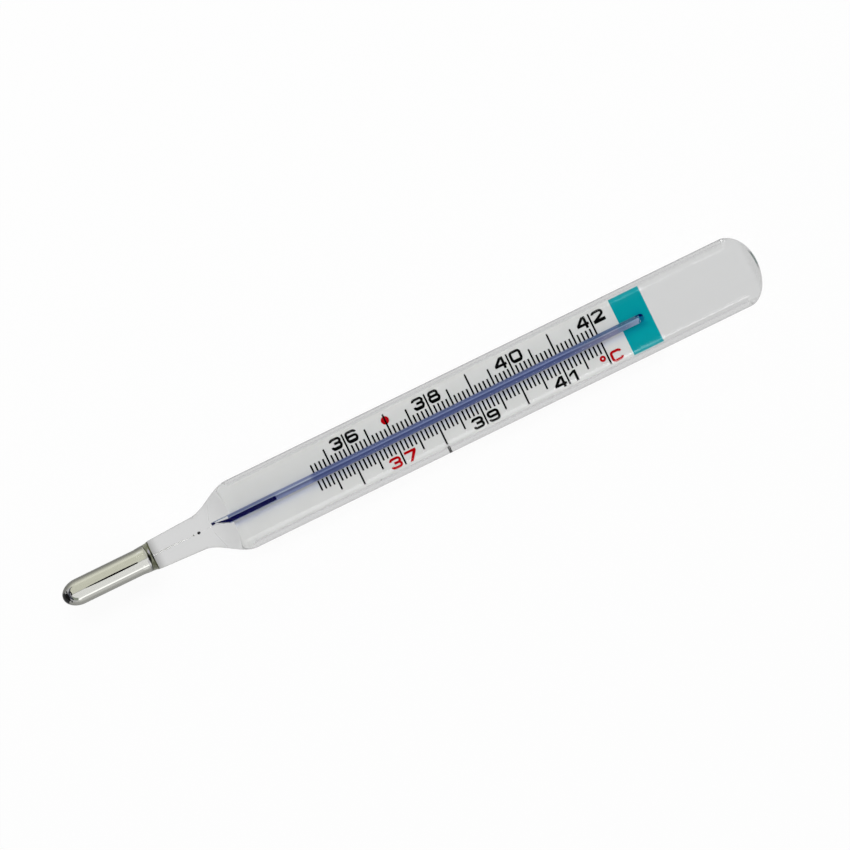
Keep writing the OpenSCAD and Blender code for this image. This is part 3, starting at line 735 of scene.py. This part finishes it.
faint = y.rise(-half_width + 0.4 * mm, -half_width + 1.0 * mm)
finish_opaque(nodes, {"Base Color": faint.mix(uneven.mix(0.06, 0.09), 0.22), "Roughness": 0.4 + 0.2 * uneven})
mark = piece(bm, "edge_mark", mark_ink)
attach(mark, "body")
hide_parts("location_mark")


# Table
# A plain white table, which keeps a faint shadow. Where the metal of the bulb mirrors it through the bulb's
# glass, it is painted with soft shadow bands, light on both sides and dark in the middle, as a room's shadows
# would lie on it, and a plain grey before the tip. In reflections off glass and metal it is painted a plain grey
# of half brightness.

bm = bmesh.new()
table_half, table_drop, bands_half = 1.5, 0.02 * mm, 30 * mm
bmesh.ops.create_grid(bm, x_segments=1, y_segments=1, size=table_half)
bmesh.ops.translate(bm, vec=(0, 0, -table_drop), verts=bm.verts)
table_white, nodes = new_material("table_white")
x, y, z = place_on(nodes)
camera_ray = nodes.add("ShaderNodeLightPath", output="Is Camera Ray")
off = y - neck_y
by_bulb = x.rise(-44.5 * mm, -47.5 * mm) * (1 - camera_ray)
bands = [
    (0.0, (0.67, 0.67, 0.66)), (0.17, (0.63, 0.63, 0.62)), (0.30, (0.53, 0.53, 0.52)),
    (0.38, (0.40, 0.40, 0.39)), (0.45, (0.36, 0.36, 0.35)), (0.53, (0.20, 0.20, 0.19)),
    (0.60, (0.29, 0.29, 0.26)), (0.65, (0.45, 0.45, 0.40)), (0.72, (0.55, 0.55, 0.49)),
    (0.86, (0.70, 0.70, 0.62)), (1.0, (0.80, 0.80, 0.71))]
painted_shadow_bands = nodes.add("ShaderNodeValToRGB", {"stops": bands}, {"Fac": (off + bands_half) * (1 / (2 * bands_half))})
before_tip = (bulb_low.x - x - 0.5 * abs(off)).rise(0.0, 4 * mm)
shade = by_bulb.mix(1.0, before_tip.mix(painted_shadow_bands, (0.52, 0.52, 0.55)))
reflected_rays = camera_ray.out("Is Glossy Ray") * (1 - camera_ray.out("Is Transmission Ray"))
shade = reflected_rays.mix(shade, 0.5)
glow = nodes.add("ShaderNodeEmission", {}, {"Color": shade, "Strength": 1.0})
matte = nodes.add("ShaderNodeBsdfDiffuse", {}, {"Color": as_colour(0.9)})
both = nodes.add("ShaderNodeMixShader", {}, {0: 1 - 0.06 * camera_ray, 1: matte, 2: glow})
nodes.add("ShaderNodeOutputMaterial", {}, {"Surface": both})
table = piece(bm, "table", table_white)


# Studio light
# A white room with two long strip lights low at the sides, which draw a bright line on each round edge,
# and a big soft light high on the scale's upper side. The camera's dark front shows in the metal.

world = bpy.data.worlds.new("white_room")
bpy.context.scene.world = world
world.use_nodes = True
world.node_tree.nodes.clear()
world.cycles.sampling_method = "NONE"
nodes = Wire(world.node_tree)
ray = nodes.add("ShaderNodeLightPath", output="Is Camera Ray")
split = nodes.add("ShaderNodeSeparateXYZ", {}, {"Vector": nodes.add("ShaderNodeTexCoord", output="Generated")})
along, across, up = split.out("X"), split.out("Y"), split.out("Z")
lower = -1 * across
mirrored = across.rise(-0.02, 0.08).mix(0.93, (0.72, 0.72, 0.62))
mirrored = abs(across - 0.05).rise(0.06, 0.02).mix(mirrored, 0.45)
mirrored = across.rise(0.93, 1.0).mix(mirrored, (0.88, 0.88, 0.77))
mirrored = lower.rise(0.97, 0.993).mix(mirrored, 0.62)
mirrored = (lower.rise(0.88, 0.93) * lower.rise(0.994, 0.97)).mix(mirrored, 1.5)
beyond = along.rise(-0.35, -0.45)
arch = 0.52 - 0.52 * across.rise(0.2, 0.9)
under = beyond * (up - arch).rise(0.02, -0.06)
mirrored = under.mix(mirrored, across.rise(-0.35, -0.2).mix((0.30, 0.33, 0.28), (0.40, 0.40, 0.43)))
mirrored = (along.rise(-0.78, -0.86) * up.rise(0.36, 0.28)).mix(mirrored, (0.07, 0.075, 0.10))
mirrored = (beyond * abs(up - arch).rise(0.10, 0.06) * across.rise(-0.12, 0.0)).mix(mirrored, 0.0)
overhead = up.rise(0.6, 0.95).mix(0.25, 0.02)
room = ray.out("Is Transmission Ray").mix(overhead, mirrored)
light = ray.out("Is Diffuse Ray").mix(room, 0.45)
light = ray.mix(light, 1.0)
background = nodes.add("ShaderNodeBackground", {}, {"Color": light, "Strength": 1.0})
nodes.add("ShaderNodeOutputWorld", {}, {"Surface": background})


def soft_light(name, place, width, height, power):
    """A soft box that shines at the middle of the part, and doesn't show in it."""
    lamp = bpy.data.lights.new(name, "AREA")
    lamp.shape = "RECTANGLE"
    lamp.size = width
    lamp.size_y = height
    lamp.energy = power
    box = bpy.data.objects.new(name, lamp)
    box.location = place
    towards = Vector((0, 0, axis_z)) - Vector(place)
    box.rotation_euler = towards.to_track_quat("-Z", "Y").to_euler()
    box.visible_camera = False
    box.visible_glossy = False
    box.visible_transmission = False
    bpy.context.collection.objects.link(box)


soft_light("key_box", (0, 0.6, 0.65), 1.0, 0.3, 4.7)
soft_light("fill_box", (0, -0.6, 0.8), 1.0, 0.4, 0.8)


def card(name, bm, colour):
    """A card beside the camera's view, which shows only in glass and metal."""
    material, nodes = new_material(name)
    nodes.add("ShaderNodeOutputMaterial", {}, {
        "Surface": nodes.add("ShaderNodeEmission", {}, {"Color": as_colour(colour(nodes)), "Strength": 1.0})})
    made = piece(bm, name, material)
    made.visible_camera = False
    made.visible_diffuse = False
    made.visible_shadow = False


def strip(name, side, elevation, half_height, brightness, gleam):
    """A long soft strip light at one side, at an elevation in degrees. The glass mirrors it as bright as its
    gleam beside the band, and no brighter than the room elsewhere."""
    reach, middle_x, half_length = 120 * mm, 21 * mm, 54 * mm
    upward = math.radians(elevation)
    middle = Vector((middle_x, side * reach * math.cos(upward), axis_z + reach * math.sin(upward)))
    bm = bmesh.new()
    bmesh.ops.create_grid(bm, x_segments=1, y_segments=1, size=1)
    bmesh.ops.scale(bm, vec=(half_length, half_height, 1), verts=bm.verts)
    bmesh.ops.rotate(bm, verts=bm.verts, matrix=Matrix.Rotation(side * (math.pi / 2 - upward), 3, "X"))
    bmesh.ops.translate(bm, vec=middle, verts=bm.verts)

    def fading(nodes):
        x, y, z = place_on(nodes)
        rise = half_height * math.cos(upward)
        off = abs(z - middle.z)
        mirrored = nodes.add("ShaderNodeLightPath", output="Is Reflection Ray")
        at_band = x.rise(band_start - 2 * mm, band_start + 1 * mm)
        return off.rise(rise, 0.3 * rise).mix(0.25, mirrored.mix(brightness, at_band.mix(1.0, gleam)))
    card(name, bm, fading)


strip("front_strip", -1, 26, 21 * mm, 11.0, 7.0)
strip("back_strip", 1, 26, 21 * mm, 6.0, 2.0)
bm = bmesh.new()
bmesh.ops.create_circle(bm, cap_ends=True, segments=48, radius=1)
front_half_x, front_half_y = 8.4 * mm, 15 * mm
front_place = (-59 * mm, 5 * mm, axis_z + 100 * mm)
bmesh.ops.scale(bm, vec=(front_half_x, front_half_y, 1), verts=bm.verts)
bmesh.ops.translate(bm, vec=front_place, verts=bm.verts)
card("camera_front", bm, lambda nodes: 0.0)


# Camera
# It looks straight down from far off, turned so that the scale runs up to the right. The picture is
# 850 points wide and high, and shows the part at the size that it has in the photograph.

picture_points = 850
points_per_mm = 6.174
lens_mm = 300
sensor_mm = 36
scale_slope = math.radians(26.04)
view_x, view_y = 2.528 * mm, -0.114 * mm
field = picture_points / points_per_mm * mm
camera_data = bpy.data.cameras.new("camera")
camera_data.lens = lens_mm
camera_data.sensor_width = sensor_mm
camera_data.clip_end = 10
camera = bpy.data.objects.new("camera", camera_data)
camera.location = (view_x, view_y, axis_z + field * lens_mm / sensor_mm)
camera.rotation_euler = (0, 0, -scale_slope)
bpy.context.collection.objects.link(camera)
bpy.context.scene.camera = camera
bpy.context.scene.view_settings.view_transform = "Standard"
